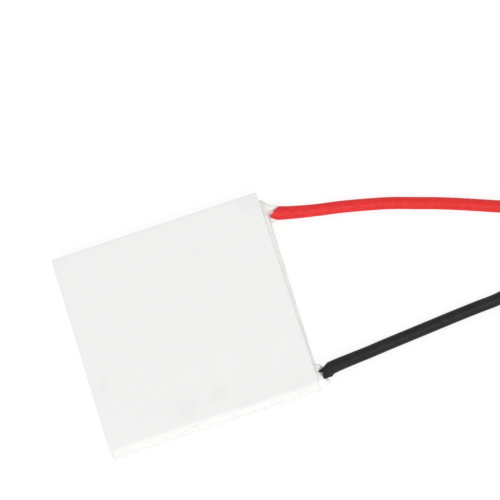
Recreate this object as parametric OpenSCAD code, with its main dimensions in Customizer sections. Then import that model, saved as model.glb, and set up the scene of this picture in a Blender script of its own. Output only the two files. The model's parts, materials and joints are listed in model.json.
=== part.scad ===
// Thermoelectric cooling module, lying on its hot plate. Millimetres, +Z up.
// Origin: centre of the hot plate's outer face. The leads leave at +X, red at +Y and black at -Y.

/* [Plates] */
// Length and width of each ceramic plate
plate_side = 40; // [34:0.5:50]
// Thickness of each ceramic plate
plate_t = 0.8; // [0.5:0.05:1.2]
// Radius of a plate's upright corner edges
plate_corner_r = 0.25; // [0.1:0.05:0.6]

/* [Thermocouples] */
// Legs along one side of the square array
legs_per_side = 16; // [8:2:18]
// Width of a leg
leg_w = 1.4; // [1:0.05:1.6]
// Height of a leg
leg_h = 2.3; // [1.2:0.05:3]
// Distance from the plate's edge to the outer faces of the outer legs
edge_margin = 1.3; // [1.1:0.05:2]

/* [Copper and solder] */
// Thickness of the copper tabs
tab_t = 0.3; // [0.15:0.05:0.5]
// How far a tab reaches past the legs that stand on it
tab_reach = 0.15; // [0.05:0.01:0.2]
// Thickness of the solder film between a tab and its legs
solder_t = 0.1; // [0.05:0.01:0.2]
// Gap between a terminal pad and the tabs of the next row
pad_gap = 0.25; // [0.15:0.05:0.5]

/* [Edge sealant] */
// How far the bead sits back from the plates' edges
seal_recess = 0.15; // [0.05:0.01:0.3]
// Depth of the bead's hollow outer face
seal_hollow = 0.2; // [0.05:0.01:0.3]
// Gap between the bead and the outer tabs
seal_gap = 0.05; // [0.02:0.01:0.2]
// Radius of the lump of sealant where a lead comes out
lump_r = 1.5; // [1:0.05:1.6]
// Length of the straight middle of a lump, along the plate's edge
lump_len = 1.8; // [0.5:0.1:3]
// Radius of the sealant collar on the bare conductor
collar_r = 0.85; // [0.6:0.05:1.1]

/* [Leads] */
// Outer diameter of a lead's insulation
lead_d = 2.3; // [1.6:0.05:2.6]
// Diameter of the tinned conductor
conductor_d = 0.9; // [0.5:0.05:1]
// Gap between the conductor's inner end and the nearest leg
wire_gap = 0.3; // [0.1:0.05:0.5]
// Thickness of solder under the conductor
seat_t = 0.05; // [0.02:0.01:0.15]
// Radius of the solder joint round the conductor, at its middle
joint_r = 0.8; // [0.66:0.02:0.9]
// Length of the solder joint along the conductor
joint_len = 2; // [1.2:0.05:2.1]
// Length of each lead from the plate's edge to its far end
lead_len = 280; // [265:1:295]
// Length of the stripped and tinned far end
tip_len = 5; // [3:0.5:6]

/* [Stored coils] */
// Radius of the outermost turn's centre line
coil_r = 13.9; // [13:0.1:16]
// Spacing of turns that lie side by side
turn_pitch = 2.35; // [2.35:0.01:2.6]
// Thickness of the tie round each coil
tie_t = 0.3; // [0.2:0.05:0.5]
// Width of the tie
tie_w = 2.5; // [1.5:0.1:4]
// Diameter of the tie's twisted ends
twist_d = 1; // [0.6:0.1:1.4]
// Length of the tie's twisted ends
twist_len = 4; // [2:0.5:5]

/* [Hidden] */
$fn = 48;

// Heights of the layers, from the bottom face up
hot_tab_z = plate_t;
hot_solder_z = hot_tab_z + tab_t;
leg_z = hot_solder_z + solder_t;
cold_solder_z = leg_z + leg_h;
cold_tab_z = cold_solder_z + solder_t;
cold_plate_z = cold_tab_z + tab_t;
inner_h = cold_plate_z - plate_t;

// The square array of legs
half_side = plate_side / 2;
last = legs_per_side - 1;
pitch = (plate_side - 2 * edge_margin - leg_w) / last;
tab_w = leg_w + 2 * tab_reach;
tab_len = pitch + tab_w;
pad_w = pitch - pad_gap;
array_half = last * pitch / 2;
function column_x(c) = array_half - c * pitch;
function row_y(r) = array_half - r * pitch;

// The bead fills the border outside the tabs
seal_half = half_side - seal_recess;
seal_inner_half = array_half + tab_w / 2 + seal_gap;
hollow_r = (pow(inner_h / 2, 2) + pow(seal_hollow, 2)) / (2 * seal_hollow);

// Routes of the leads' centre lines, as [x past the plate's edge, y from the plate's corner,
// height above lying on the floor]
lead_r = lead_d / 2;
conductor_z = leg_z + seat_t + conductor_d / 2;
exit_rise = conductor_z - lead_r;
red_points = [[2, -3.9, exit_rise], [4, -4.55, exit_rise], [7, -5.25, 0.25], [10, -5.85, 0],
    [14, -6.7, 0], [18.5, -7.85, 0], [23, -9.15, 0], [27.5, -10.8, 0], [32, -12.5, 0],
    [36.5, -14.4, 0], [41, -16.4, 0], [44.5, -17.95, 0.1], [47.5, -19.6, tie_t]];
black_points = [[2, 3, exit_rise], [4, 3.28, exit_rise], [7, 3.65, 0.25], [10, 3.95, 0],
    [14, 4.3, 0], [18.5, 4.65, 0], [23, 5, 0], [27.5, 5.35, 0], [32, 5.65, 0],
    [36, 5.85, 0.1], [39.5, 6.5, tie_t]];
function placed(points, side) =
    [for (p = points) p + [half_side, side * half_side, lead_r]];
red_route = placed(red_points, 1);
black_route = placed(black_points, -1);
// Direction in which each lead reaches its coil, and the side that the coil lies on:
// 1 for a coil on the left, which winds counter-clockwise, and -1 for one on the right
red_heading = -30;
black_heading = 16;
red_side = 1;
black_side = -1;
lead_sides = 8;

// Each coil has a lower layer of two turns, winding inwards, and an upper layer that winds
// outwards on top of it. Angles count from the point where the lead joins the outermost turn.
coil_entry = 8.5;
low_turns = 2;
low_end = 700;
top_begin = 760;
top_r = coil_r - 1.5 * turn_pitch;
coil_in_r = coil_r - low_turns * turn_pitch;
top_span = 320;
tie_angle = 180;
function low_turn_r(a) = coil_r - turn_pitch * a / 360;
function top_turn_r(a) = top_r + turn_pitch * (a - top_begin) / 360;

// Length of a route, and the angle at which a coil's upper layer has used up the lead
function route_len(p, i = 1) = i == len(p) ? 0 : norm(p[i] - p[i - 1]) + route_len(p, i + 1);
low_len = (coil_r + low_turn_r(low_end)) / 2 * low_end * PI / 180;
climb_len = (low_turn_r(low_end) + top_r) / 2 * (top_begin - low_end) * PI / 180;
function top_len(route) = lead_len - route[0].x + half_side - tip_len - route_len(route)
    - coil_entry - low_len - climb_len;
function coil_end(route) = top_begin + top_len(route) / (top_r + turn_pitch / 2) * 180 / PI;

function unit(v) = v / norm(v);
function flat_heading(a) = [cos(a), sin(a), 0];
// Direction of a route at point i
function route_dir(p, i, last_dir) =
    i == 0 ? unit(p[1] - p[0]) : i == len(p) - 1 ? last_dir : unit(p[i + 1] - p[i - 1]);
// Bare length of a route's conductor at the module, which ends short of the pad's leg
function strip_len(route) =
    let (d = route_dir(route, 0), reach = column_x(1) + leg_w / 2 + wire_gap)
    (route[0].x - reach - conductor_d / 2 * abs(d.y)) / d.x;
// Corners of the lead's cross-section at point c, square to direction d
function ring(c, d) =
    let (across = unit(cross(d, [0, 0, 1])), up = cross(across, d))
    [for (k = [0 : lead_sides - 1])
        c + lead_r * (cos(360 * k / lead_sides) * across + sin(360 * k / lead_sides) * up)];

// A square slab with rounded upright edges, centred on the Z axis
module slab(half, r, h) {
    translate([-half, r - half, 0]) cube([2 * half, 2 * (half - r), h]);
    translate([r - half, -half, 0]) cube([2 * (half - r), 2 * half, h]);
    for (x = [-1, 1], y = [-1, 1])
        translate([x * (half - r), y * (half - r), 0]) cylinder(r = r, h = h);
}

// A box centred in X and Y at (x, y), standing on z
module block(x, y, z, size) {
    translate([x - size.x / 2, y - size.y / 2, z]) cube(size);
}

// Puts its children on every place of a tab between two legs of one row
module on_hot_tabs() {
    for (r = [0 : last], c = [0 : 2 : last - 1])
        if (!(c == 0 && (r == 0 || r == last)))
            translate([column_x(c + 0.5), row_y(r), 0]) children();
}

// The cold tabs are half a step along, and one at each row's end leads to the next row
module on_cold_tabs() {
    for (r = [0 : last], c = [1 : 2 : last - 2])
        translate([column_x(c + 0.5), row_y(r), 0]) children();
    for (r = [0 : last - 1])
        translate([column_x(r % 2 == 0 ? last : 0), row_y(r + 0.5), 0]) rotate([0, 0, 90]) children();
}

// Outline of a terminal pad: side is 1 for the red lead's corner and -1 for the black one's
module pad_outline(side, z, h) {
    y = side * (array_half + tab_w / 2 - pad_w / 2);
    block(column_x(0.5), y, z, [tab_len, pad_w, h]);
}

// Legs of one kind: they alternate along the rows, and the two lead corners have none
module legs(kind) {
    for (r = [0 : last], c = [0 : last])
        if ((r + c) % 2 == kind && !(c == 0 && (r == 0 || r == last)))
            block(column_x(c), row_y(r), leg_z, [leg_w, leg_w, leg_h]);
}

// Puts its children at point a with their Z axis along direction d
module along(a, d) {
    translate(a) rotate([0, acos(d.z), atan2(d.y, d.x)]) children();
}

// A cylinder from point a along direction d
module rod(a, d, r, len) {
    along(a, d) cylinder(r = r, h = len);
}

// The bare conductor of a route, from its pad to the insulation, and extra further on
module conductor(route, extra = 0) {
    d = route_dir(route, 0);
    rod(route[0] - strip_len(route) * d, d, conductor_d / 2, strip_len(route) + extra);
}

// Solder heaped round the conductor on its pad, thickest at its middle and flat below, where it
// meets the pad's solder film
module terminal_joint(route) {
    d = route_dir(route, 0);
    middle = route[0] - (strip_len(route) - joint_len / 2) * d;
    rise = joint_r - conductor_d / 2;
    arc_r = (pow(joint_len / 2, 2) + pow(rise, 2)) / (2 * rise);
    difference() {
        along(middle, d) rotate_extrude() intersection() {
            translate([joint_r - arc_r, 0]) circle(r = arc_r, $fn = 96);
            translate([conductor_d / 2, -joint_len]) square([joint_len, 2 * joint_len]);
        }
        block(middle.x, middle.y, leg_z - joint_len, joint_len * [2, 2, 1]);
    }
}

// The lump of sealant over a lead's exit, with a collar out to the insulation
module exit_lump(route, side) {
    d = route_dir(route, 0);
    crossing = route[0] - (route[0].x - half_side) / d.x * d;
    collar_len = norm(route[0] - crossing);
    translate(crossing + [0, side * lump_len / 6, 0]) rotate([90, 0, 0]) rotate_extrude()
        intersection() {
            union() {
                for (y = [-1, 1]) translate([0, y * lump_len / 2]) circle(r = lump_r);
                translate([-lump_r, -lump_len / 2]) square([2 * lump_r, lump_len]);
            }
            translate([0, -lump_len - lump_r]) square([lump_r + 1, 2 * (lump_len + lump_r)]);
        }
    rod(crossing, d, collar_r, collar_len);
}

// The bead round the edge, hollow outside, before the plates and conductors are cut away
module bead() {
    difference() {
        translate([0, 0, plate_t]) slab(seal_half, plate_corner_r, inner_h);
        translate([0, 0, plate_t - 1])
            block(0, 0, 0, [2 * seal_inner_half, 2 * seal_inner_half, inner_h + 2]);
        for (a = [0 : 90 : 270])
            rotate([0, 0, a])
                translate([seal_half - seal_hollow + hollow_r, plate_side, plate_t + inner_h / 2])
                    rotate([90, 0, 0]) cylinder(r = hollow_r, h = 2 * plate_side, $fn = 192);
    }
}

module edge_bead() {
    difference() {
        union() {
            bead();
            difference() {
                union() {
                    exit_lump(red_route, 1);
                    exit_lump(black_route, -1);
                }
                block(0, 0, -1, [2 * seal_inner_half, 2 * seal_inner_half, cold_plate_z + 2]);
            }
        }
        slab(half_side, plate_corner_r, plate_t);
        translate([0, 0, cold_plate_z]) slab(half_side, plate_corner_r, plate_t);
        conductor(red_route, lead_d);
        conductor(black_route, lead_d);
    }
}

// A lead's insulation along its route, ending square to last_dir
module lead_tube(route, last_dir) {
    count = len(route);
    n = lead_sides;
    corners = [for (i = [0 : count - 1]) each ring(route[i], route_dir(route, i, last_dir))];
    walls = [for (i = [0 : count - 2], k = [0 : n - 1])
        [i * n + k, i * n + (k + 1) % n, (i + 1) * n + (k + 1) % n, (i + 1) * n + k]];
    near_end = [for (k = [n - 1 : -1 : 0]) k];
    far_end = [for (k = [0 : n - 1]) (count - 1) * n + k];
    polyhedron(corners, concat([near_end], walls, [far_end]));
}

// Puts its children at a coil: there the coil's centre is the origin, the lead comes in along +Y
// at (coil_r, 0), and the turns run counter-clockwise
module at_coil(route, heading, side) {
    join = route[len(route) - 1] + coil_entry * flat_heading(heading);
    centre = join - side * coil_r * [sin(heading), -cos(heading), 0];
    translate([centre.x, centre.y, 0]) rotate([0, 0, heading - 90])
        mirror([side < 0 ? 1 : 0, 0, 0]) children();
}

// Section of turns that lie side by side between two radii of their centre lines
module turns_section(inner, outer, z, r) {
    translate([inner, z - r]) square([outer - inner, 2 * r]);
    translate([inner, z]) circle(r = r);
    translate([outer, z]) circle(r = r);
}

// Outer shape of a lead's coil, with the straight stretch that leads into it
module coil(route) {
    end = coil_end(route);
    low_z = tie_t + lead_r;
    settle = 0.05;
    rotate_extrude($fn = 96) turns_section(coil_in_r, coil_r, low_z, lead_r);
    rotate([0, 0, end - top_span]) rotate_extrude(angle = top_span, $fn = 96)
        turns_section(top_r, top_r + turn_pitch, low_z + lead_d - settle, lead_r + settle);
    rod([coil_r, -coil_entry, low_z], [0, 1, 0], lead_r - settle, coil_entry);
}

// The bare far end, straight on from the last turn
module lead_tip(route) {
    end = coil_end(route);
    rotate([0, 0, end])
        rod([top_turn_r(end), 0, tie_t + lead_r + lead_d], [0, 1, 0], conductor_d / 2, tip_len);
}

// Section of the tie, grown by g: flat below, and drawn in over the upper turns
module tie_section(g) {
    corner = 0.8;
    low_in = coil_in_r - lead_r - g;
    low_out = coil_r + lead_r + g;
    top_in = top_r - corner * lead_r - g;
    top_out = top_r + turn_pitch + corner * lead_r + g;
    shoulder = tie_t + corner * lead_d;
    top = tie_t + 2 * lead_d + g;
    polygon([[low_in, tie_t - g], [low_out, tie_t - g], [low_out, shoulder], [top_out, top],
        [top_in, top], [low_in, shoulder]]);
}

// A flat tie round the turns, with its twisted ends lying inside the coil
module tie() {
    spread = tie_w / coil_r * 180 / PI;
    slack = 0.05;
    rotate([0, 0, tie_angle - spread / 2]) rotate_extrude(angle = spread, $fn = 96) difference() {
        tie_section(tie_t);
        tie_section(slack);
    }
    twist_start = coil_in_r - lead_r - tie_t / 2;
    rotate([0, 0, tie_angle]) {
        rod([twist_start, 0, twist_d / 2], [-1, 0, 0], twist_d / 2, twist_len);
        translate([twist_start - twist_len, 0, twist_d / 2]) sphere(d = twist_d);
    }
}

module hot_plate() {
    color([0.93, 0.93, 0.92]) slab(half_side, plate_corner_r, plate_t);
}

module cold_plate() {
    color([0.94, 0.94, 0.93]) translate([0, 0, cold_plate_z]) slab(half_side, plate_corner_r, plate_t);
}

module hot_side_tabs() {
    color([0.8, 0.45, 0.28]) on_hot_tabs() block(0, 0, hot_tab_z, [tab_len, tab_w, tab_t]);
}

module cold_side_tabs() {
    color([0.8, 0.45, 0.28]) on_cold_tabs() block(0, 0, cold_tab_z, [tab_len, tab_w, tab_t]);
}

module red_terminal_pad() {
    color([0.8, 0.45, 0.28]) pad_outline(1, hot_tab_z, tab_t);
}

module black_terminal_pad() {
    color([0.8, 0.45, 0.28]) pad_outline(-1, hot_tab_z, tab_t);
}

module hot_side_solder() {
    color([0.72, 0.73, 0.75]) {
        on_hot_tabs() block(0, 0, hot_solder_z, [tab_len, tab_w, solder_t]);
        pad_outline(1, hot_solder_z, solder_t);
        pad_outline(-1, hot_solder_z, solder_t);
    }
}

module cold_side_solder() {
    color([0.72, 0.73, 0.75]) on_cold_tabs() block(0, 0, cold_solder_z, [tab_len, tab_w, solder_t]);
}

module p_legs() {
    color([0.42, 0.42, 0.45]) legs(0);
}

module n_legs() {
    color([0.34, 0.35, 0.38]) legs(1);
}

module edge_sealant() {
    color([0.96, 0.96, 0.95]) edge_bead();
}

module red_terminal_solder() {
    color([0.75, 0.76, 0.78]) terminal_joint(red_route);
}

module black_terminal_solder() {
    color([0.75, 0.76, 0.78]) terminal_joint(black_route);
}

module red_conductor() {
    color([0.78, 0.78, 0.78]) conductor(red_route);
}

module black_conductor() {
    color([0.78, 0.78, 0.78]) conductor(black_route);
}

module red_lead() {
    color([0.85, 0.2, 0.19]) lead_tube(red_route, flat_heading(red_heading));
}

module black_lead() {
    color([0.17, 0.17, 0.17]) lead_tube(black_route, flat_heading(black_heading));
}

module red_lead_coil() {
    color([0.85, 0.2, 0.19]) at_coil(red_route, red_heading, red_side) coil(red_route);
}

module black_lead_coil() {
    color([0.17, 0.17, 0.17]) at_coil(black_route, black_heading, black_side) coil(black_route);
}

module red_lead_tip() {
    color([0.78, 0.78, 0.78]) at_coil(red_route, red_heading, red_side) lead_tip(red_route);
}

module black_lead_tip() {
    color([0.78, 0.78, 0.78]) at_coil(black_route, black_heading, black_side) lead_tip(black_route);
}

module red_lead_tie() {
    color([0.9, 0.9, 0.88]) at_coil(red_route, red_heading, red_side) tie();
}

module black_lead_tie() {
    color([0.9, 0.9, 0.88]) at_coil(black_route, black_heading, black_side) tie();
}

hot_plate();
cold_plate();
hot_side_tabs();
cold_side_tabs();
red_terminal_pad();
black_terminal_pad();
hot_side_solder();
cold_side_solder();
p_legs();
n_legs();
edge_sealant();
red_terminal_solder();
black_terminal_solder();
red_conductor();
black_conductor();
red_lead();
black_lead();
red_lead_coil();
black_lead_coil();
red_lead_tip();
black_lead_tip();
red_lead_tie();
black_lead_tie();
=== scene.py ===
import json
import math

import bmesh
import bpy
from mathutils import Matrix, Vector, noise


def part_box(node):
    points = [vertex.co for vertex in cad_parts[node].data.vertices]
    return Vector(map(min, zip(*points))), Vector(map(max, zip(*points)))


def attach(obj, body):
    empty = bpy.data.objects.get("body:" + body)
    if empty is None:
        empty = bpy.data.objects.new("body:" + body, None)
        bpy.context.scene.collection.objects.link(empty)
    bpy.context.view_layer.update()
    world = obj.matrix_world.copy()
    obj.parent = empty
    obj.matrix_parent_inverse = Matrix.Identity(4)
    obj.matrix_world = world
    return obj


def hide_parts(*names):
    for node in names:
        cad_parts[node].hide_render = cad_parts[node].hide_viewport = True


bl_info = {
    "name": "Thermoelectric Cooling Module",
    "version": (1, 0, 0),
    "blender": (4, 5, 0),
    "location": "View3D > Sidebar > Cooling Module",
    "description": "Dresses a thermoelectric cooling module: plates, sealant, leads and their finishes",
    "category": "Object",
}

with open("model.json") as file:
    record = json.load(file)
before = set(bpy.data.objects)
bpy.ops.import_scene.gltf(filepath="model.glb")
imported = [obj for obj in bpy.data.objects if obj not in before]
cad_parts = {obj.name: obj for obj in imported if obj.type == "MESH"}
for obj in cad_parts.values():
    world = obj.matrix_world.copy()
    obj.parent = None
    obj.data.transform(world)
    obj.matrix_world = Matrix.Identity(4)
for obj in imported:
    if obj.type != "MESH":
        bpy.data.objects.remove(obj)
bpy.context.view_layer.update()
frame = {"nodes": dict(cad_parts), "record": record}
NODES = frame["nodes"]
UP = Vector((0, 0, 1))

HOT_LOW, HOT_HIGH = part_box("hot_plate")
COLD_LOW, COLD_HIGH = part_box("cold_plate")
HALF_SIDE = COLD_HIGH.x
GAP_LOW = HOT_HIGH.z
GAP_HIGH = COLD_LOW.z
LEAD_ENDS = {m["name"]: m for m in frame["record"]["mounts"] if m["name"].endswith("lead_end")}

# Routes of the leads' centre lines, in metres: past the plate's edge, from the plate's corner,
# and the height above lying on the floor
RED_POINTS = [(0.002, -0.0039, 0.00055), (0.004, -0.00455, 0.00055), (0.007, -0.00525, 0.00025),
              (0.010, -0.00585, 0), (0.014, -0.0067, 0), (0.0185, -0.00785, 0),
              (0.023, -0.00915, 0), (0.0275, -0.0108, 0), (0.032, -0.0125, 0),
              (0.0365, -0.0144, 0), (0.041, -0.0164, 0), (0.0445, -0.01795, 0.0001),
              (0.0475, -0.0196, 0.0003)]
BLACK_POINTS = [(0.002, 0.003, 0.00055), (0.004, 0.00328, 0.00055), (0.007, 0.00365, 0.00025),
                (0.010, 0.00395, 0), (0.014, 0.0043, 0), (0.0185, 0.00465, 0),
                (0.023, 0.005, 0), (0.0275, 0.00535, 0), (0.032, 0.00565, 0),
                (0.036, 0.00585, 0.0001), (0.0395, 0.0065, 0.0003)]

# Degrees along the coil at which the low layer ends and the top layer begins
LOW_END, TOP_BEGIN = 700, 760
# and at which the top layer passes under the tie
TIE_TURN = 900


# ---------------------------------------------------------------- settings

def length_property(name, description, default):
    return bpy.props.FloatProperty(name=name, description=description, default=default,
                                   min=0.0, unit="LENGTH", subtype="DISTANCE", precision=5)


def colour_property(name, description, default):
    return bpy.props.FloatVectorProperty(name=name, description=description, default=default,
                                         min=0.0, max=1.0, size=3, subtype="COLOR")


class PlateSettings(bpy.types.PropertyGroup):
    """Sizes and colour of the two ceramic plates"""
    corner_radius: length_property("Corner radius", "Radius of the upright corner edges", 0.00025)
    rim_radius: length_property("Rim radius", "Rounding of the rims of both faces", 0.00007)
    edge_wave: length_property("Edge wave", "How uneven the snapped edges are", 0.000025)
    alumina_colour: colour_property("Alumina", "Colour of the fired alumina", (0.885, 0.885, 0.882))


class SealantSettings(bpy.types.PropertyGroup):
    """Sizes and colour of the silicone round the edge"""
    bead_width: length_property("Bead width", "How far the bead reaches in under the plates", 0.0010)
    roll_at_red: length_property("Roll at red", "How far the roll stands out near the red lead", 0.0009)
    roll_at_black: length_property("Roll at black", "How far it stands out near the black lead", 0.0004)
    voxel: length_property("Voxel", "Size of the cells that blend the lumps together", 0.00014)
    silicone_colour: colour_property("Silicone", "Colour of the sealant", (0.92, 0.92, 0.915))


class LeadSettings(bpy.types.PropertyGroup):
    """Sizes and colours of the leads and their coils"""
    lead_diameter: length_property("Lead diameter", "Outer diameter of the insulation", 0.0023)
    bore_diameter: length_property("Bore diameter", "Diameter of the insulation's bore", 0.001)
    lead_length: length_property("Lead length", "From the plate's edge to the far end", 0.280)
    tip_length: length_property("Tip length", "Stripped and tinned far end", 0.005)
    conductor_diameter: length_property("Conductor diameter", "Diameter of the tinned strands", 0.0009)
    coil_radius: length_property("Coil radius", "Radius of the outermost turn's centre line", 0.0139)
    turn_pitch: length_property("Turn pitch", "Spacing of turns that lie side by side", 0.00235)
    tie_thickness: length_property("Tie thickness", "Thickness of the tie round each coil", 0.0003)
    tie_width: length_property("Tie width", "Width of the tie", 0.0025)
    red_colour: colour_property("Red", "Colour of the red insulation", (0.82, 0.030, 0.030))
    black_colour: colour_property("Black", "Colour of the black insulation", (0.0085, 0.0085, 0.009))


class StageSettings(bpy.types.PropertyGroup):
    """Lamps and floor"""
    sky_strength: bpy.props.FloatProperty(name="Sky strength", description="Light from all round",
                                          default=0.69, min=0.0)
    key_power: bpy.props.FloatProperty(name="Key power", description="Power of the large soft lamp",
                                       default=5.3, min=0.0)
    floor_glow: bpy.props.FloatProperty(name="Floor glow", default=0.82, min=0.0, max=1.0,
                                        description="White that the floor shows to the camera by itself")


# ---------------------------------------------------------------- modelling helpers

def deselect_all():
    if bpy.context.object and bpy.context.object.mode != "OBJECT":
        bpy.ops.object.mode_set(mode="OBJECT")
    bpy.ops.object.select_all(action="DESELECT")


def make_active(obj):
    deselect_all()
    obj.select_set(True)
    bpy.context.view_layer.objects.active = obj


def name_piece(name):
    piece = bpy.context.object
    piece.name = name
    piece.data.name = name
    return piece


def apply_place(obj):
    make_active(obj)
    bpy.ops.object.transform_apply(location=True, rotation=True, scale=True)


def apply_modifier(obj, kind, name, **values):
    make_active(obj)
    modifier = obj.modifiers.new(name, kind)
    for key, value in values.items():
        setattr(modifier, key, value)
    bpy.ops.object.modifier_apply(modifier=modifier.name)


def select_in_edit(obj, mode, test):
    """Selects the faces, edges or vertices of an object in edit mode that pass a test."""
    mesh = bmesh.from_edit_mesh(obj.data)
    bpy.ops.mesh.select_mode(type=mode)
    bpy.ops.mesh.select_all(action="DESELECT")
    parts = {"VERT": mesh.verts, "EDGE": mesh.edges, "FACE": mesh.faces}[mode]
    for part in parts:
        if test(part):
            part.select_set(True)
    mesh.select_flush_mode()
    bmesh.update_edit_mesh(obj.data)


def edge_centre(edge):
    return (edge.verts[0].co + edge.verts[1].co) / 2


def join_objects(target, others):
    make_active(target)
    for other in others:
        other.select_set(True)
    bpy.ops.object.join()
    return target


def finish_piece(obj, material, nodes, smooth_angle=math.radians(40)):
    """Seats a finished piece: faces outwards, shaded, with its material, on its body."""
    make_active(obj)
    bpy.ops.object.mode_set(mode="EDIT")
    bpy.ops.mesh.select_all(action="SELECT")
    bpy.ops.mesh.remove_doubles(threshold=1e-7)
    bpy.ops.mesh.normals_make_consistent(inside=False)
    bpy.ops.object.mode_set(mode="OBJECT")
    bpy.ops.object.shade_smooth_by_angle(angle=smooth_angle)
    obj.data.materials.clear()
    obj.data.materials.append(material)
    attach(obj, "root")
    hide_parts(*nodes)
    return obj


# ---------------------------------------------------------------- material helpers

def new_group(name, inputs, outputs):
    group = bpy.data.node_groups.new(name, "ShaderNodeTree")
    for socket_name, kind, default in inputs:
        socket = group.interface.new_socket(socket_name, in_out="INPUT", socket_type=kind)
        socket.default_value = default
    for socket_name, kind in outputs:
        group.interface.new_socket(socket_name, in_out="OUTPUT", socket_type=kind)
    entry = group.nodes.new("NodeGroupInput")
    leave = group.nodes.new("NodeGroupOutput")
    return group, entry, leave


def add_node(tree, kind, inputs=None, **values):
    """Adds a node; inputs holds numbers, colours or sockets to link, by socket name or number."""
    node = tree.nodes.new(kind)
    for key, value in values.items():
        setattr(node, key, value)
    for key, value in (inputs or {}).items():
        if isinstance(value, bpy.types.NodeSocket):
            tree.links.new(value, node.inputs[key])
        else:
            node.inputs[key].default_value = value
    return node


def grain_group():
    """Fine surface grain: a height for bump and a 0 to 1 value for roughness."""
    if "surface_grain" in bpy.data.node_groups:
        return bpy.data.node_groups["surface_grain"]
    group, entry, leave = new_group(
        "surface_grain",
        [("Vector", "NodeSocketVector", (0, 0, 0)), ("Grain Scale", "NodeSocketFloat", 4000.0),
         ("Ripple Scale", "NodeSocketFloat", 400.0), ("Ripple Share", "NodeSocketFloat", 0.5)],
        [("Height", "NodeSocketFloat"), ("Value", "NodeSocketFloat")])
    fine = add_node(group, "ShaderNodeTexNoise", {"Vector": entry.outputs["Vector"],
                    "Scale": entry.outputs["Grain Scale"], "Detail": 3.0, "Roughness": 0.6})
    ripple = add_node(group, "ShaderNodeTexNoise", {"Vector": entry.outputs["Vector"],
                      "Scale": entry.outputs["Ripple Scale"], "Detail": 2.0})
    blend = add_node(group, "ShaderNodeMix", {"Factor": entry.outputs["Ripple Share"],
                     "A": fine.outputs["Fac"], "B": ripple.outputs["Fac"]})
    group.links.new(blend.outputs["Result"], leave.inputs["Height"])
    group.links.new(ripple.outputs["Fac"], leave.inputs["Value"])
    return group


def smudge_group():
    """Soft cloudy marks from handling, as a 0 to 1 mask."""
    if "handling_marks" in bpy.data.node_groups:
        return bpy.data.node_groups["handling_marks"]
    group, entry, leave = new_group(
        "handling_marks",
        [("Vector", "NodeSocketVector", (0, 0, 0)), ("Scale", "NodeSocketFloat", 60.0),
         ("Low", "NodeSocketFloat", 0.5), ("High", "NodeSocketFloat", 0.75)],
        [("Mask", "NodeSocketFloat")])
    cloud = add_node(group, "ShaderNodeTexNoise", {"Vector": entry.outputs["Vector"],
                     "Scale": entry.outputs["Scale"], "Detail": 4.0, "Roughness": 0.55,
                     "Distortion": 0.6})
    ramp = add_node(group, "ShaderNodeMapRange", {"Value": cloud.outputs["Fac"],
                    "From Min": entry.outputs["Low"], "From Max": entry.outputs["High"]})
    group.links.new(ramp.outputs["Result"], leave.inputs["Mask"])
    return group


def spot_group():
    """One smudge with a ragged, faded edge round a point, as a 0 to 1 mask."""
    if "smudge_spot" in bpy.data.node_groups:
        return bpy.data.node_groups["smudge_spot"]
    group, entry, leave = new_group(
        "smudge_spot",
        [("Vector", "NodeSocketVector", (0, 0, 0)), ("Centre", "NodeSocketVector", (0, 0, 0)),
         ("Radius", "NodeSocketFloat", 0.002), ("Strength", "NodeSocketFloat", 1.0)],
        [("Mask", "NodeSocketFloat")])
    offset = add_node(group, "ShaderNodeVectorMath", {0: entry.outputs["Vector"],
                      1: entry.outputs["Centre"]}, operation="SUBTRACT")
    span = add_node(group, "ShaderNodeVectorMath", {0: offset.outputs[0]}, operation="LENGTH")
    share = add_node(group, "ShaderNodeMath", {0: span.outputs["Value"],
                     1: entry.outputs["Radius"]}, operation="DIVIDE")
    cloud = add_node(group, "ShaderNodeTexNoise", {"Vector": entry.outputs["Vector"],
                     "Scale": 420.0, "Detail": 3.0})
    ragged = add_node(group, "ShaderNodeMath", {0: cloud.outputs["Fac"], 1: 1.3, 2: share.outputs[0]},
                      operation="MULTIPLY_ADD")
    fade = add_node(group, "ShaderNodeMapRange", {"Value": ragged.outputs[0], "From Min": 1.6,
                    "From Max": 0.7, "To Max": entry.outputs["Strength"]},
                    interpolation_type="SMOOTHSTEP")
    group.links.new(fade.outputs["Result"], leave.inputs["Mask"])
    return group


def add_spots(tree, place, spots):
    """The strongest of several smudges at each point; spots holds (centre, radius, strength)."""
    strongest = None
    for centre, radius, strength in spots:
        spot = add_node(tree, "ShaderNodeGroup", node_tree=spot_group())
        tree.links.new(place, spot.inputs["Vector"])
        spot.inputs["Centre"].default_value = centre
        spot.inputs["Radius"].default_value = radius
        spot.inputs["Strength"].default_value = strength
        mask = spot.outputs["Mask"]
        if strongest:
            mask = add_node(tree, "ShaderNodeMath", {0: strongest, 1: mask},
                            operation="MAXIMUM").outputs[0]
        strongest = mask
    return strongest


def new_material(name):
    material = bpy.data.materials.new(name)
    material.use_nodes = True
    tree = material.node_tree
    shader = tree.nodes["Principled BSDF"]
    place = add_node(tree, "ShaderNodeTexCoord")
    return material, tree, shader, place.outputs["Object"]


def add_grain(tree, shader, place, grain_scale, ripple_scale, ripple_share, depth, strength=1.0):
    """Bump from the shared grain; returns the grain node for further use."""
    grain = add_node(tree, "ShaderNodeGroup", node_tree=grain_group())
    tree.links.new(place, grain.inputs["Vector"])
    grain.inputs["Grain Scale"].default_value = grain_scale
    grain.inputs["Ripple Scale"].default_value = ripple_scale
    grain.inputs["Ripple Share"].default_value = ripple_share
    bump = add_node(tree, "ShaderNodeBump", {"Height": grain.outputs["Height"],
                    "Strength": strength, "Distance": depth})
    tree.links.new(bump.outputs["Normal"], shader.inputs["Normal"])
    return grain


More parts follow.
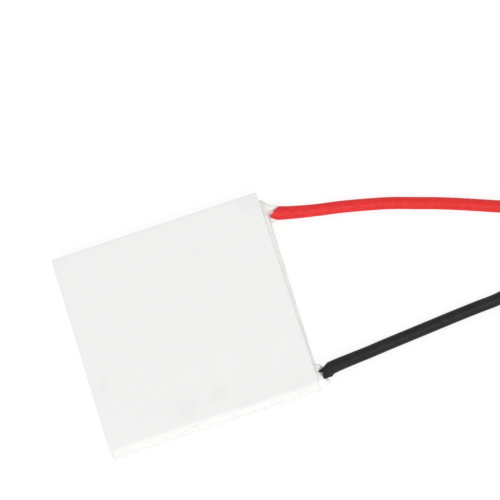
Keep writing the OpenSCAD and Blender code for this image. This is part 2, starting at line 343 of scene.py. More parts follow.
def add_marks(tree, place, scale, low, high):
    marks = add_node(tree, "ShaderNodeGroup", node_tree=smudge_group())
    tree.links.new(place, marks.inputs["Vector"])
    marks.inputs["Scale"].default_value = scale
    marks.inputs["Low"].default_value = low
    marks.inputs["High"].default_value = high
    return marks.outputs["Mask"]


def mix_colour(tree, factor, first, second):
    mix = add_node(tree, "ShaderNodeMix", data_type="RGBA")
    for socket, value in ((mix.inputs[0], factor), (mix.inputs[6], first), (mix.inputs[7], second)):
        if isinstance(value, bpy.types.NodeSocket):
            tree.links.new(value, socket)
        elif hasattr(value, "__len__"):
            socket.default_value = (*value[:3], 1.0)
        else:
            socket.default_value = value
    return mix.outputs[2]


def spread_roughness(tree, shader, value, low, high):
    ramp = add_node(tree, "ShaderNodeMapRange", {"Value": value, "To Min": low, "To Max": high})
    tree.links.new(ramp.outputs["Result"], shader.inputs["Roughness"])


def tinted(colour, share):
    return tuple(c * share for c in colour)


def alumina_material(settings):
    material, tree, shader, place = new_material("fired_alumina")
    colour = tuple(settings.alumina_colour)
    marks = add_marks(tree, place, 75.0, 0.52, 0.78)
    soft = add_marks(tree, place, 260.0, 0.35, 0.75)
    clouded = mix_colour(tree, marks, colour, tinted(colour, 0.98))
    speckled = mix_colour(tree, soft, clouded, tinted(colour, 0.993))
    top = COLD_HIGH.z
    smudges = add_spots(tree, place, (
        ((-0.0178, -0.0072, top), 0.0022, 1.0), ((-0.0045, -0.0166, top), 0.0045, 0.9),
        ((0.0022, -0.0160, top), 0.0032, 1.0), ((0.0070, -0.0200, top), 0.0060, 0.6),
        ((0.0165, -0.0200, top), 0.0050, 0.6), ((0.0185, 0.0190, top), 0.0040, 0.8),
        ((-0.0190, 0.0190, top), 0.0030, 0.5)))
    smudged = mix_colour(tree, smudges, speckled, tinted(colour, 0.955))
    tree.links.new(smudged, shader.inputs["Base Color"])
    grain = add_grain(tree, shader, place, 9000.0, 900.0, 0.35, 0.000004)
    spread_roughness(tree, shader, grain.outputs["Value"], 0.5, 0.68)
    shader.inputs["Specular IOR Level"].default_value = 0.35
    return material


def silicone_material(settings):
    material, tree, shader, place = new_material("white_silicone")
    colour = tuple(settings.silicone_colour)
    marks = add_marks(tree, place, 420.0, 0.45, 0.8)
    tree.links.new(mix_colour(tree, marks, colour, tinted(colour, 0.93)), shader.inputs["Base Color"])
    grain = add_grain(tree, shader, place, 3500.0, 700.0, 0.7, 0.00002)
    spread_roughness(tree, shader, grain.outputs["Value"], 0.32, 0.5)
    shader.inputs["Subsurface Weight"].default_value = 0.15
    shader.inputs["Subsurface Scale"].default_value = 0.0006
    shader.inputs["Subsurface Radius"].default_value = (1.0, 1.0, 1.0)
    shader.inputs["Specular IOR Level"].default_value = 0.4
    return material


def insulation_material(name, colour, mottle, dull, specular):
    """Soft insulation: mottled from mottle times its colour up to it, dusty where it was rubbed."""
    material, tree, shader, place = new_material(name)
    marks = add_marks(tree, place, 1300.0, 0.38, 0.68)
    rubbed = add_marks(tree, place, 380.0, 0.5, 0.75)
    worn = mix_colour(tree, marks, colour, tinted(colour, mottle))
    dusty = mix_colour(tree, rubbed, worn, tuple(c + dull for c in colour))
    tree.links.new(dusty, shader.inputs["Base Color"])
    grain = add_grain(tree, shader, place, 5200.0, 900.0, 0.6, 0.00003)
    spread_roughness(tree, shader, grain.outputs["Value"], 0.38, 0.62)
    shader.inputs["Specular IOR Level"].default_value = specular
    return material


def metal_material(name, colour, dull_colour, rough_low, rough_high, mark_scale=700.0):
    material, tree, shader, place = new_material(name)
    marks = add_marks(tree, place, mark_scale, 0.4, 0.7)
    tree.links.new(mix_colour(tree, marks, colour, dull_colour), shader.inputs["Base Color"])
    grain = add_grain(tree, shader, place, 9000.0, 1800.0, 0.5, 0.000008)
    spread_roughness(tree, shader, grain.outputs["Value"], rough_low, rough_high)
    shader.inputs["Metallic"].default_value = 1.0
    return material


def tie_material():
    material, tree, shader, place = new_material("tie_plastic")
    colour = (0.70, 0.70, 0.68)
    marks = add_marks(tree, place, 300.0, 0.4, 0.8)
    tree.links.new(mix_colour(tree, marks, colour, tinted(colour, 0.9)), shader.inputs["Base Color"])
    grain = add_grain(tree, shader, place, 3000.0, 1200.0, 0.5, 0.000015)
    spread_roughness(tree, shader, grain.outputs["Value"], 0.38, 0.55)
    return material


# ---------------------------------------------------------------- leads

def lead_facts(colour_name):
    """What tells one lead from the other: its route, corner, heading, coil and sealed end.

    lap is how far the insulation reaches back from the route's first point. cut and flare say,
    from the far side to the near side, where its rim starts and how far it stands off."""
    if colour_name == "red":
        return {"points": RED_POINTS, "corner": 1, "heading": -30, "side": 1, "lap": 0.0007,
                "cut": ((-1.0, 0.0017), (0.0, 0.0006), (0.38, 0.0), (0.7, 0.0003), (1.0, 0.0014)),
                "flare": ((-1.0, 0.0), (1.0, 0.0)), "swell": 0.13}
    return {"points": BLACK_POINTS, "corner": -1, "heading": 16, "side": -1, "lap": 0.0011,
            "cut": ((-1.0, 0.0019), (-0.65, 0.0010), (-0.48, 0.0004), (-0.38, -0.0004),
                    (-0.25, 0.0003), (0.1, 0.0001), (0.3, 0.0004), (0.5, 0.0003), (0.66, 0.0001),
                    (0.78, -0.0003), (0.88, 0.0009), (1.0, 0.0016)),
            "flare": ((-1.0, 0.0), (0.5, 0.0001), (0.78, 0.0005), (0.9, 0.0002), (1.0, 0.0003)),
            "swell": 0.07}


def lead_route(facts, settings):
    """The route's points in the frame."""
    lift = settings.lead_diameter / 2
    corner_y = facts["corner"] * HALF_SIDE
    return [Vector((x + HALF_SIDE, y + corner_y, z + lift)) for x, y, z in facts["points"]]


def coil_matrix(facts, settings, route):
    """Places a coil: its centre at the origin, the lead coming in along +Y at the coil's radius."""
    heading = math.radians(facts["heading"])
    side = facts["side"]
    entry = 0.0085
    join = route[-1] + entry * Vector((math.cos(heading), math.sin(heading), 0))
    centre = join - side * settings.coil_radius * Vector((math.sin(heading), -math.cos(heading), 0))
    centre.z = 0
    turn = Matrix.Rotation(heading - math.pi / 2, 4, "Z")
    flip = Matrix.Diagonal((side, 1, 1, 1))
    return Matrix.Translation(centre) @ turn @ flip


def path_length(points):
    return sum((b - a).length for a, b in zip(points, points[1:]))


def coil_points(settings, matrix, left):
    """Centre line of the stored turns: two turns inwards on the floor, then outwards on top."""
    low_z = settings.tie_thickness + settings.lead_diameter / 2
    high_z = low_z + settings.lead_diameter
    step = 15
    top_radius = settings.coil_radius - 1.5 * settings.turn_pitch
    points = []
    angle = 0
    while True:
        if angle <= LOW_END:
            radius = settings.coil_radius - settings.turn_pitch * angle / 360
            height = low_z
        elif angle <= TOP_BEGIN:
            share = (angle - LOW_END) / (TOP_BEGIN - LOW_END)
            share = share * share * (3 - 2 * share)
            low_radius = settings.coil_radius - settings.turn_pitch * LOW_END / 360
            radius = low_radius + (top_radius - low_radius) * share
            height = low_z + (high_z - low_z) * share
        else:
            radius = top_radius + settings.turn_pitch * (angle - TOP_BEGIN) / 360
            height = high_z
        turn = math.radians(angle)
        point = Vector((radius * math.cos(turn), radius * math.sin(turn), height))
        if points:
            stretch = (point - points[-1]).length
            if stretch >= left:
                points.append(points[-1].lerp(point, left / stretch))
                break
            left -= stretch
        points.append(point)
        angle += step
    return [matrix @ p for p in points]


def lead_line(facts, settings, lap):
    """Centre line of a lead's insulation: from inside the sealant, along the route and the coil."""
    route = lead_route(facts, settings)
    matrix = coil_matrix(facts, settings, route)
    first = (route[1] - route[0]).normalized()
    low_z = settings.tie_thickness + settings.lead_diameter / 2
    start = matrix @ Vector((settings.coil_radius, 0, low_z))
    exit_gap = route[0].x - HALF_SIDE
    left = settings.lead_length - exit_gap - settings.tip_length
    left -= path_length(route) + (start - route[-1]).length
    turns = coil_points(settings, matrix, left)
    middle = route[-1].lerp(start, 0.5)
    return [route[0] - lap * first, *route, middle, *turns]


def smooth_curve(name, points, radius, ring_steps=4, along_steps=4):
    """A round tube along one open smooth spline, as a curve object."""
    data = bpy.data.curves.new(name, "CURVE")
    data.dimensions = "3D"
    data.bevel_depth = radius
    data.bevel_resolution = ring_steps
    data.resolution_u = along_steps
    data.use_fill_caps = False
    spline = data.splines.new("BEZIER")
    spline.bezier_points.add(len(points) - 1)
    for bezier, point in zip(spline.bezier_points, points):
        bezier.co = point
        bezier.handle_left_type = "AUTO"
        bezier.handle_right_type = "AUTO"
    curve = bpy.data.objects.new(name, data)
    bpy.context.scene.collection.objects.link(curve)
    return curve


def curve_to_mesh(curve):
    make_active(curve)
    bpy.ops.object.convert(target="MESH")
    return bpy.context.object


def close_lead_end(obj, point, inward, settings, cut=None, flare=None, swell=0.0):
    """Finishes an open end of the insulation: its cut or torn rim, the wall and the bore.

    cut and flare take the place across the lead, from -1 on its far side to 1 on its near side,
    and give how far back the rim starts there and how far it stands off. swell is how much wider
    the insulation is at its end, as a share of its radius."""
    radius = settings.lead_diameter / 2
    across = inward.cross(UP).normalized()
    lift = across.cross(inward).normalized()
    mesh = bmesh.from_edit_mesh(obj.data)
    if cut:
        cut_length, flare_length, swell_length = 0.0034, 0.0009, 0.008
        near_across, near_up = 0.92, 0.38
        for vertex in mesh.verts:
            offset = vertex.co - point
            along = offset.dot(inward)
            outward = offset - along * inward
            if -radius < along < cut_length and outward.length < 1.5 * radius:
                place = (near_across * offset.dot(across) - near_up * offset.dot(lift)) / radius
                vertex.co += inward * cut(place) * (1 - max(along, 0) / cut_length)
                vertex.co += outward / radius * flare(place) * max(0, 1 - along / flare_length)
            if -radius < along < swell_length and outward.length < 1.5 * radius:
                vertex.co += outward * swell * (1 - max(along, 0) / swell_length)
        bmesh.update_edit_mesh(obj.data)
    reach = settings.lead_diameter * 1.3
    select_in_edit(obj, "EDGE", lambda e: e.is_boundary and (edge_centre(e) - point).length < reach)
    rim, rim_bulge, bore_depth = 0.94, 0.00004, 0.0016
    bore = settings.bore_diameter / settings.lead_diameter
    for share, step in ((rim, -rim_bulge), (bore / rim, 0.0), (1.0, bore_depth)):
        bpy.ops.mesh.extrude_region_move(TRANSFORM_OT_translate={"value": inward * step})
        mesh = bmesh.from_edit_mesh(obj.data)
        chosen = [v for v in mesh.verts if v.select]
        middle = sum((v.co for v in chosen), Vector()) / len(chosen)
        for vertex in chosen:
            offset = vertex.co - middle
            along = inward * offset.dot(inward)
            vertex.co = middle + along + (offset - along) * share
        bmesh.update_edit_mesh(obj.data)
    bpy.ops.mesh.edge_face_add()


def profile(stops):
    """A function that runs straight from stop to stop of (place, value)."""
    def value(place):
        place = min(max(place, stops[0][0]), stops[-1][0])
        for (low, first), (high, last) in zip(stops, stops[1:]):
            if place <= high:
                return first + (last - first) * (place - low) / (high - low)
        return stops[-1][1]
    return value


def build_lead(colour_name, settings, material):
    facts = lead_facts(colour_name)
    points = lead_line(facts, settings, facts["lap"])
    line = curve_to_mesh(smooth_curve(colour_name + "_line", points, 0.0))
    path = [v.co.copy() for v in line.data.vertices]
    bpy.data.objects.remove(line)
    radius = settings.lead_diameter / 2
    tube = curve_to_mesh(smooth_curve(colour_name + "_insulation", points, radius, 8))
    tube.name = colour_name + "_insulation"
    make_active(tube)
    bpy.ops.object.mode_set(mode="EDIT")
    close_lead_end(tube, points[0], (points[1] - points[0]).normalized(), settings,
                   profile(facts["cut"]), profile(facts["flare"]), facts["swell"])
    close_lead_end(tube, points[-1], (points[-2] - points[-1]).normalized(), settings)
    bpy.ops.object.mode_set(mode="OBJECT")
    for vertex in tube.data.vertices:
        vertex.co.z = max(vertex.co.z, 0)
    finish_piece(tube, material,
                 [colour_name + "_lead", colour_name + "_lead_coil"])
    return tube, path


class MODULE_OT_leads(bpy.types.Operator):
    """Adds the two insulated leads, each with its stored coil, tinned end and tie"""
    bl_idname = "module.leads"
    bl_label = "Leads"

    def execute(self, context):
        settings = context.scene.module_leads
        tinned = metal_material("tinned_strands", (0.74, 0.74, 0.73), (0.55, 0.55, 0.55), 0.28, 0.45)
        plastic = tie_material()
        for colour_name, colour, mottle, dull, specular in (
                ("red", settings.red_colour, 0.8, 0.003, 0.22),
                ("black", settings.black_colour, 0.45, 0.009, 0.23)):
            material = insulation_material(colour_name + "_insulation", tuple(colour),
                                           mottle, dull, specular)
            tube, path = build_lead(colour_name, settings, material)
            tip = build_tip(colour_name, settings, tinned)
            tie = build_tie(colour_name, settings, plastic)
        for name in ("red_conductor", "black_conductor"):
            NODES[name].data.materials.clear()
            NODES[name].data.materials.append(tinned)
        return {"FINISHED"}


def build_tip(colour_name, settings, material):
    """Seven twisted strands, fused by tin into one rod with a strand pattern."""
    mount = LEAD_ENDS[colour_name + "_lead_end"]
    middle = Vector(mount["pos_m"])
    axis = Vector(mount["axis"])
    strand_r = settings.conductor_diameter / 6
    lay_turns = 0.9
    steps = 12
    strands = []
    buried = 0.0012
    whole = settings.tip_length + buried
    for k in range(7):
        points = []
        for i in range(steps + 1):
            share = i / steps
            angle = 2 * math.pi * (k / 6 + lay_turns * share)
            radius = 0.0 if k == 6 else 2 * strand_r
            points.append(Vector((radius * math.cos(angle), radius * math.sin(angle), whole * share)))
        strand = smooth_curve("strand", points, strand_r * 0.99, 2, 3)
        strand.data.use_fill_caps = True
        strands.append(curve_to_mesh(strand))
    tip = join_objects(strands[0], strands[1:])
    tip.name = colour_name + "_tinned_end"
    apply_modifier(tip, "REMESH", "Tin", mode="VOXEL", voxel_size=0.00005)
    apply_modifier(tip, "SMOOTH", "Wetting", factor=0.5, iterations=3)
    turn = axis.to_track_quat("Z", "Y").to_matrix().to_4x4()
    start = middle - axis * (settings.tip_length / 2 + buried)
    tip.matrix_world = Matrix.Translation(start) @ turn
    apply_place(tip)
    return finish_piece(tip, material, [colour_name + "_lead_tip"], math.radians(60))


def tie_outline(settings, gap):
    """Outline of the tie half a turn round the coil, as (radius, z): the three runs that it holds."""
    lead_r = settings.lead_diameter / 2
    inner_turn = settings.coil_radius - 1.5 * settings.turn_pitch
    outer_turn = settings.coil_radius - 0.5 * settings.turn_pitch
    top_turn = inner_turn + settings.turn_pitch * (TIE_TURN - TOP_BEGIN) / 360
    low_in, low_out = inner_turn - lead_r - gap, outer_turn + lead_r + gap
    top_in, top_out = top_turn - 0.75 * lead_r - gap, top_turn + 0.75 * lead_r + gap
    floor = settings.tie_thickness - gap
    shoulder = settings.tie_thickness + 0.8 * settings.lead_diameter
    top = settings.tie_thickness + 2 * settings.lead_diameter + gap
    return [(low_in, floor), (low_out, floor), (low_out, shoulder), (top_out, top), (top_in, top),
            (low_in, shoulder)]


def build_tie(colour_name, settings, material):
    """A flat strip with a wire down its middle, round the turns, its ends twisted inside the coil."""
    facts = lead_facts(colour_name)
    matrix = coil_matrix(facts, settings, lead_route(facts, settings))
    half_t = settings.tie_thickness / 2
    outline = tie_outline(settings, half_t)
    bpy.ops.mesh.primitive_plane_add(size=1)
    band = name_piece(colour_name + "_coil_tie")
    bpy.ops.object.mode_set(mode="EDIT")
    bpy.ops.mesh.delete(type="VERT")
    mesh = bmesh.from_edit_mesh(band.data)
    count = len(outline)
    across = [-0.5, -0.18, 0.0, 0.18, 0.5]
    rows = []
    for radius, z in outline:
        rows.append([mesh.verts.new((-radius, s * settings.tie_width, z)) for s in across])
    for i in range(count):
        for k in range(len(across) - 1):
            mesh.faces.new((rows[i][k], rows[i][k + 1], rows[(i + 1) % count][k + 1],
                            rows[(i + 1) % count][k]))
    bmesh.update_edit_mesh(band.data)
    bend = settings.lead_diameter * 0.3
    select_in_edit(band, "EDGE", lambda e: abs(e.verts[0].co.x - e.verts[1].co.x) < 1e-9
                   and abs(e.verts[0].co.z - e.verts[1].co.z) < 1e-9)
    bpy.ops.mesh.bevel(offset=bend, segments=4, affect="EDGES")
    bpy.ops.mesh.select_all(action="SELECT")
    bpy.ops.mesh.normals_make_consistent(inside=False)
    bpy.ops.object.mode_set(mode="OBJECT")
    mesh = bmesh.new()
    mesh.from_mesh(band.data)
    for vertex in mesh.verts:
        if abs(vertex.co.y) < 0.2 * settings.tie_width:
            vertex.co += vertex.normal * half_t * (0.3 if abs(vertex.co.y) < 1e-6 else 0.18)
    mesh.to_mesh(band.data)
    mesh.free()
    apply_modifier(band, "SOLIDIFY", "Thickness", thickness=settings.tie_thickness * 0.62, offset=0.0)
    apply_modifier(band, "BEVEL", "Edges", width=0.00004, segments=2, limit_method="ANGLE")
    ends = build_twist(settings)
    band = join_objects(band, ends)
    band.matrix_world = matrix
    apply_place(band)
    return finish_piece(band, material, [colour_name + "_lead_tie"], math.radians(35))


def build_twist(settings):
    """The tie's two ends, twisted round each other towards the coil's centre."""
    length, turns, steps = 0.0045, 2.0, 24
    start = -tie_outline(settings, settings.tie_thickness / 2)[0][0]
    strip_half_w, strip_half_t = 0.00042, 0.0001
    strand_gap, opening, rise = 0.00012, 0.0004, 0.0005
    ends = []
    for phase in (0, math.pi):
        bpy.ops.mesh.primitive_cube_add(size=2)
        strip = bpy.context.object
        strip.scale = (length / 2, strip_half_w, strip_half_t)
        apply_place(strip)
        bpy.ops.object.mode_set(mode="EDIT")
        select_in_edit(strip, "EDGE", lambda e: abs(e.verts[0].co.x - e.verts[1].co.x) > length / 2)
        bpy.ops.mesh.subdivide(number_cuts=steps)
        bpy.ops.object.mode_set(mode="OBJECT")
        for vertex in strip.data.vertices:
            along = vertex.co.x + length / 2
            angle = phase + 2 * math.pi * turns * along / length
            spread = strand_gap * min(1.0, along / opening + 0.3)
            y = vertex.co.y
            z = vertex.co.z + spread
            vertex.co = Vector((start + along, y * math.cos(angle) - z * math.sin(angle),
                                rise + y * math.sin(angle) + z * math.cos(angle)))
        apply_modifier(strip, "BEVEL", "Edges", width=0.00003, segments=2, limit_method="ANGLE")
        ends.append(strip)
    return ends


# ---------------------------------------------------------------- plates

def build_plate(name, node, low, high, settings, material):
    """A thin ceramic plate: rounded corners, softly broken rims and slightly uneven edges."""
    deselect_all()
    bpy.ops.mesh.primitive_cube_add(size=1, location=(low + high) / 2)
    plate = name_piece(name)
    plate.scale = high - low
    apply_place(plate)
    bpy.ops.object.mode_set(mode="EDIT")
    half_height = (high.z - low.z) / 2
    select_in_edit(plate, "EDGE", lambda e: abs(e.verts[0].co.z - e.verts[1].co.z) > half_height)
    bpy.ops.mesh.bevel(offset=settings.corner_radius, segments=5, affect="EDGES")
    select_in_edit(plate, "EDGE", lambda e: e.is_manifold and e.calc_face_angle(0) > 1.2)
    bpy.ops.mesh.bevel(offset=settings.rim_radius, segments=3, affect="EDGES")
    strips = 60
    for axis in (0, 1):
        normal = [1 - axis, axis, 0]
        for cut in range(1, strips):
            point = low.lerp(high, cut / strips)
            bpy.ops.mesh.select_all(action="SELECT")
            bpy.ops.mesh.bisect(plane_co=point, plane_no=normal)
    bpy.ops.object.mode_set(mode="OBJECT")
    corner_start = high.x - settings.corner_radius
    for vertex in plate.data.vertices:
        place = vertex.co
        reach = max(abs(place.x), abs(place.y)) - (high.x - settings.rim_radius * 1.5)
        if reach > 0:
            wave = noise.noise(Vector((place.x, place.y, place.z * 0.2)) * 900)
            wave += 0.5 * noise.noise(Vector((place.x, place.y, place.z * 0.5)) * 4000)
            pull = settings.edge_wave * (0.75 + wave)
            vertex.co.x -= math.copysign(pull, place.x) * (abs(place.x) > corner_start)
            vertex.co.y -= math.copysign(pull, place.y) * (abs(place.y) > corner_start)
    return finish_piece(plate, material, [node], math.radians(30))


class MODULE_OT_plates(bpy.types.Operator):
    """Adds the hot and the cold alumina plate"""
    bl_idname = "module.plates"
    bl_label = "Plates"

    def execute(self, context):
        settings = context.scene.module_plates
        material = alumina_material(settings)
        build_plate("hot_side_ceramic", "hot_plate", HOT_LOW, HOT_HIGH, settings, material)
        build_plate("cold_side_ceramic", "cold_plate", COLD_LOW, COLD_HIGH, settings, material)
        return {"FINISHED"}


# ---------------------------------------------------------------- sealant

def build_bead(settings):
    """A square ring that fills the border between the plates, with rounded corners."""
    set_back, corner_cut = 0.0001, 0.0006
    outer = HALF_SIDE - set_back
    height = GAP_HIGH - GAP_LOW
    bpy.ops.mesh.primitive_plane_add(size=2 * outer, location=(0, 0, GAP_LOW))
    bead = name_piece("edge_sealant_bead")
    apply_place(bead)
    bpy.ops.object.mode_set(mode="EDIT")
    bpy.ops.mesh.select_all(action="SELECT")
    bpy.ops.mesh.bevel(offset=corner_cut, segments=4, affect="VERTICES")
    bpy.ops.mesh.select_all(action="SELECT")
    bpy.ops.mesh.inset(thickness=settings.bead_width, depth=0)
    bpy.ops.mesh.delete(type="FACE")
    bpy.ops.mesh.select_all(action="SELECT")
    bpy.ops.mesh.extrude_region_move(TRANSFORM_OT_translate={"value": (0, 0, height)})
    bpy.ops.mesh.select_all(action="SELECT")
    bpy.ops.mesh.normals_make_consistent(inside=False)
    bpy.ops.object.mode_set(mode="OBJECT")
    return bead


def add_blob(location, scale):
    bpy.ops.mesh.primitive_ico_sphere_add(subdivisions=4, radius=1, location=location)
    blob = bpy.context.object
    blob.scale = scale
    apply_place(blob)
    return blob


# Lumps of sealant at each lead, in metres: place past the plate's edge, from the plate's corner
# and above the floor, then half sizes
RED_LUMPS = (
    ((0.0001, -0.0033, 0.0017), (0.0014, 0.0018, 0.00135)),
    ((0.0000, -0.0015, 0.0012), (0.0011, 0.0013, 0.0010)),
    ((0.0009, -0.0024, 0.0015), (0.0010, 0.0009, 0.0012)),
    ((0.0020, -0.0030, 0.0017), (0.0010, 0.0006, 0.0011)),
    ((0.0028, -0.0031, 0.0017), (0.0006, 0.0004, 0.0008)),
    ((0.0012, -0.0048, 0.0012), (0.0009, 0.00045, 0.0009)),
    ((0.0021, -0.0050, 0.0013), (0.0005, 0.0003, 0.0006)),
)
BLACK_LUMPS = (
    ((0.0000, 0.0029, 0.0016), (0.0012, 0.0018, 0.0013)),
    ((0.0008, 0.0040, 0.0016), (0.0007, 0.0007, 0.0010)),
    ((0.0016, 0.0036, 0.0012), (0.0005, 0.0005, 0.0008)),
    ((0.0006, 0.0015, 0.0013), (0.0010, 0.0012, 0.0011)),
    ((0.0013, 0.0011, 0.0009), (0.0007, 0.0007, 0.0008)),
    ((0.0012, 0.0028, 0.0008), (0.0011, 0.0012, 0.0007)),
)


def exit_lumps(lumps, corner):
    """Lumps of sealant over a lead's exit, from the plate's edge out to the insulation."""
    return [add_blob((HALF_SIDE + x, corner * HALF_SIDE + y, z), size) for (x, y, z), size in lumps]


def build_roll(settings):
    """The roll of sealant that stands past the plates on the leads' side, fuller at the red lead,
    and a dome for each of its ends."""
    shoulder, length, clearance, centre_y = 0.00085, 0.0312, 0.00003, -0.0003
    straight = (GAP_HIGH - GAP_LOW) / 2 - shoulder - clearance
    proud = (settings.roll_at_red + settings.roll_at_black) / 2
    lean = math.atan2(settings.roll_at_red - settings.roll_at_black, length)
    bpy.ops.mesh.primitive_cylinder_add(vertices=48, radius=shoulder, depth=length)
    roll = bpy.context.object
    for side in (-1, 1):
        bpy.ops.object.mode_set(mode="EDIT")
        select_in_edit(roll, "VERT", lambda v: v.co.y * side > 0.00001)
        bpy.ops.transform.translate(value=(0, side * straight, 0))
        bpy.ops.object.mode_set(mode="OBJECT")
    roll.rotation_euler = (math.pi / 2, 0, -lean)
    middle = (GAP_LOW + GAP_HIGH) / 2
    roll.location = (HALF_SIDE + proud - shoulder, centre_y, middle)
    apply_place(roll)
    dome = (shoulder, 0.0014, straight + 0.8 * shoulder)
    return [roll, add_blob((HALF_SIDE + settings.roll_at_red - shoulder, length / 2, middle), dome),
            add_blob((HALF_SIDE + settings.roll_at_black - shoulder, -length / 2, middle), dome)]


def settle_sealant(obj, bead_width):
    """Keeps the sealant between the plates, flattens its inner face on the leads' side and gives
    its free face the waves of a wiped bead."""
    free_face = HALF_SIDE - 0.0004
    deepest = HALF_SIDE - 2 * bead_width
    inner_face = HALF_SIDE - bead_width
    for vertex in obj.data.vertices:
        place = vertex.co
        wave = noise.noise(Vector(place) * 350) + 0.6 * noise.noise(Vector(place) * 1100)
        if place.x > free_face:
            vertex.co.x += 0.00007 * wave
        elif max(abs(place.x), abs(place.y)) > free_face:
            pull = 0.00003 + 0.00006 * abs(wave)
            if abs(place.x) > abs(place.y):
                vertex.co.x -= math.copysign(pull, place.x)
            else:
                vertex.co.y -= math.copysign(pull, place.y)
        if deepest < place.x < inner_face and abs(place.y) < inner_face:
            vertex.co.x = inner_face
        if max(abs(vertex.co.x), abs(vertex.co.y)) < HALF_SIDE:
            vertex.co.z = min(max(vertex.co.z, GAP_LOW), GAP_HIGH)


class MODULE_OT_sealant(bpy.types.Operator):
    """Adds the silicone bead round the edge, its roll and the lumps over the leads"""
    bl_idname = "module.sealant"
    bl_label = "Sealant"

    def execute(self, context):
        settings = context.scene.module_sealant
        bead = build_bead(settings)
        lumps = exit_lumps(RED_LUMPS, 1) + exit_lumps(BLACK_LUMPS, -1)
        bead = join_objects(bead, build_roll(settings) + lumps)
        apply_modifier(bead, "REMESH", "Blend", mode="VOXEL", voxel_size=settings.voxel)
        apply_modifier(bead, "SMOOTH", "Flow", factor=0.5, iterations=12)
        settle_sealant(bead, settings.bead_width)
        finish_piece(bead, silicone_material(settings), ["edge_sealant"], math.radians(180))
        return {"FINISHED"}


# ---------------------------------------------------------------- what is sealed inside

class MODULE_OT_inside(bpy.types.Operator):
    """Gives the sealed copper, solder and legs their finishes"""
    bl_idname = "module.inside"
    bl_label = "Inside"

    def execute(self, context):
        copper = metal_material("copper_strip", (0.78, 0.42, 0.27), (0.60, 0.30, 0.19), 0.25, 0.45)
        solder = metal_material("tin_solder", (0.62, 0.63, 0.64), (0.45, 0.46, 0.47), 0.35, 0.55)
        alloy_p = metal_material("leg_alloy_p", (0.33, 0.33, 0.36), (0.24, 0.24, 0.27),
                                 0.4, 0.6, 1500.0)
        alloy_n = metal_material("leg_alloy_n", (0.26, 0.27, 0.30), (0.19, 0.20, 0.22),
                                 0.4, 0.6, 1500.0)
        finishes = {
            "hot_side_tabs": copper, "cold_side_tabs": copper,
            "red_terminal_pad": copper, "black_terminal_pad": copper,
            "hot_side_solder": solder, "cold_side_solder": solder,
            "red_terminal_solder": solder, "black_terminal_solder": solder,
            "p_legs": alloy_p, "n_legs": alloy_n,
        }
        for name, material in finishes.items():
            NODES[name].data.materials.clear()
            NODES[name].data.materials.append(material)
        return {"FINISHED"}


# ---------------------------------------------------------------- stage

def add_camera():
    right = Vector((0.9488167728, -0.2847754269, -0.1365638602))
    down = Vector((-0.3156736808, -0.8685894006, -0.3819719627))
    ahead = Vector((-0.0098416927, 0.4055310213, -0.9140282992))
    data = bpy.data.cameras.new("view_camera")
    data.lens = 288
    data.sensor_width = 36
    camera = bpy.data.objects.new("view_camera", data)
    bpy.context.scene.collection.objects.link(camera)
    turn = Matrix((right, -down, -ahead)).transposed().to_4x4()
    camera.matrix_world = Matrix.Translation((0.022887341, -0.289630896, 0.678302919)) @ turn
    bpy.context.scene.camera = camera


def add_lamp(name, location, size, power):
    data = bpy.data.lights.new(name, "AREA")
    data.shape = "SQUARE"
    data.size = size
    data.energy = power
    lamp = bpy.data.objects.new(name, data)
    bpy.context.scene.collection.objects.link(lamp)
    lamp.location = location
    lamp.rotation_mode = "QUATERNION"
    lamp.rotation_quaternion = (-Vector(location)).to_track_quat("-Z", "Y")
    return lamp


def seen_directly(tree):
    """1 for what the camera sees, straight or mirrored, and 0 for light's own paths."""
    rays = add_node(tree, "ShaderNodeLightPath")
    first = add_node(tree, "ShaderNodeMath", {0: rays.outputs["Is Camera Ray"],
                     1: rays.outputs["Is Glossy Ray"]}, operation="MAXIMUM")
    both = add_node(tree, "ShaderNodeMath", {0: first.outputs[0],
                    1: rays.outputs["Is Transmission Ray"]}, operation="MAXIMUM")
    return both.outputs[0]


def floor_material(glow):
    """White floor: mostly its own white to the camera, so that only a soft shadow shows."""
    material = bpy.data.materials.new("pale_floor")
    material.use_nodes = True
    tree = material.node_tree
    tree.nodes.clear()
    plain = add_node(tree, "ShaderNodeBsdfDiffuse", {"Color": (0.86, 0.86, 0.86, 1)})
    shaded = add_node(tree, "ShaderNodeBsdfDiffuse", {"Color": (1 - glow + 0.04,) * 3 + (1,)})
    white = add_node(tree, "ShaderNodeEmission", {"Color": (1, 1, 1, 1), "Strength": glow})
    shown = add_node(tree, "ShaderNodeAddShader", {0: shaded.outputs[0], 1: white.outputs[0]})
    mix = add_node(tree, "ShaderNodeMixShader", {0: seen_directly(tree), 1: plain.outputs[0],
                   2: shown.outputs[0]})
    out = add_node(tree, "ShaderNodeOutputMaterial", {"Surface": mix.outputs[0]})
    out.is_active_output = True
    return material


def set_world(strength):
    world = bpy.data.worlds.new("studio_sky")
    bpy.context.scene.world = world
    world.use_nodes = True
    tree = world.node_tree
    tree.nodes.clear()
    sky = add_node(tree, "ShaderNodeBackground", {"Color": (1, 1, 1, 1), "Strength": strength})
    white = add_node(tree, "ShaderNodeBackground", {"Color": (1, 1, 1, 1), "Strength": 1.0})
    mix = add_node(tree, "ShaderNodeMixShader", {0: seen_directly(tree), 1: sky.outputs[0],
                   2: white.outputs[0]})
    add_node(tree, "ShaderNodeOutputWorld", {"Surface": mix.outputs[0]})


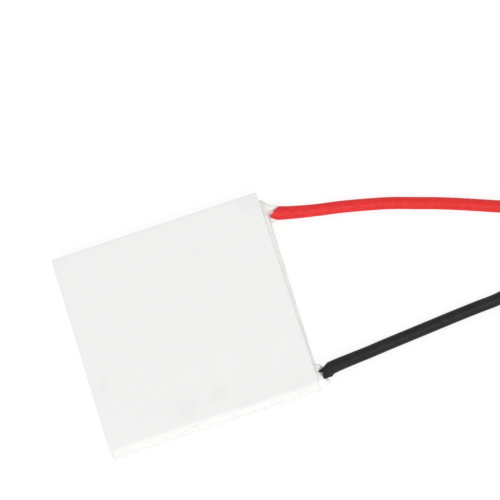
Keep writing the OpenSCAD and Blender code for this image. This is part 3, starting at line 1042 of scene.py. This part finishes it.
class MODULE_OT_stage(bpy.types.Operator):
    """Adds the camera, the floor, the soft lamps and the sky"""
    bl_idname = "module.stage"
    bl_label = "Stage"

    def execute(self, context):
        settings = context.scene.module_stage
        context.scene.view_settings.view_transform = "Standard"
        add_camera()
        deselect_all()
        bpy.ops.mesh.primitive_plane_add(size=4, location=(0, 0, 0))
        floor = name_piece("floor")
        apply_place(floor)
        floor.data.materials.append(floor_material(settings.floor_glow))
        lamp_side, key_share, fill_share = 0.7, 1.06, 0.1
        add_lamp("key_lamp", (-0.1, -0.81, 0.79), lamp_side, settings.key_power * key_share)
        add_lamp("fill_lamp", (0.8, 0.15, 0.55), lamp_side, settings.key_power * fill_share)
        set_world(settings.sky_strength)
        return {"FINISHED"}


# ---------------------------------------------------------------- panel and registration

class MODULE_PT_panel(bpy.types.Panel):
    """Lists the steps that dress the module"""
    bl_label = "Cooling Module"
    bl_idname = "MODULE_PT_panel"
    bl_space_type = "VIEW_3D"
    bl_region_type = "UI"
    bl_category = "Cooling Module"

    def draw(self, context):
        layout = self.layout
        for step in STEPS:
            layout.operator(step.bl_idname)
        for name in SETTINGS:
            box = layout.box()
            group = getattr(context.scene, name)
            for key in group.__annotations__:
                box.prop(group, key)


SETTINGS = {
    "module_plates": PlateSettings,
    "module_sealant": SealantSettings,
    "module_leads": LeadSettings,
    "module_stage": StageSettings,
}
STEPS = (MODULE_OT_stage, MODULE_OT_leads, MODULE_OT_plates, MODULE_OT_sealant, MODULE_OT_inside)


def register():
    for cls in (*SETTINGS.values(), *STEPS, MODULE_PT_panel):
        bpy.utils.register_class(cls)
    for name, cls in SETTINGS.items():
        setattr(bpy.types.Scene, name, bpy.props.PointerProperty(type=cls))


def unregister():
    for name in SETTINGS:
        delattr(bpy.types.Scene, name)
    for cls in (MODULE_PT_panel, *reversed(STEPS), *SETTINGS.values()):
        bpy.utils.unregister_class(cls)


def main():
    register()
    bpy.ops.module.stage()
    bpy.ops.module.leads()
    bpy.ops.module.plates()
    bpy.ops.module.sealant()
    bpy.ops.module.inside()


if __name__ == "__main__":
    main()
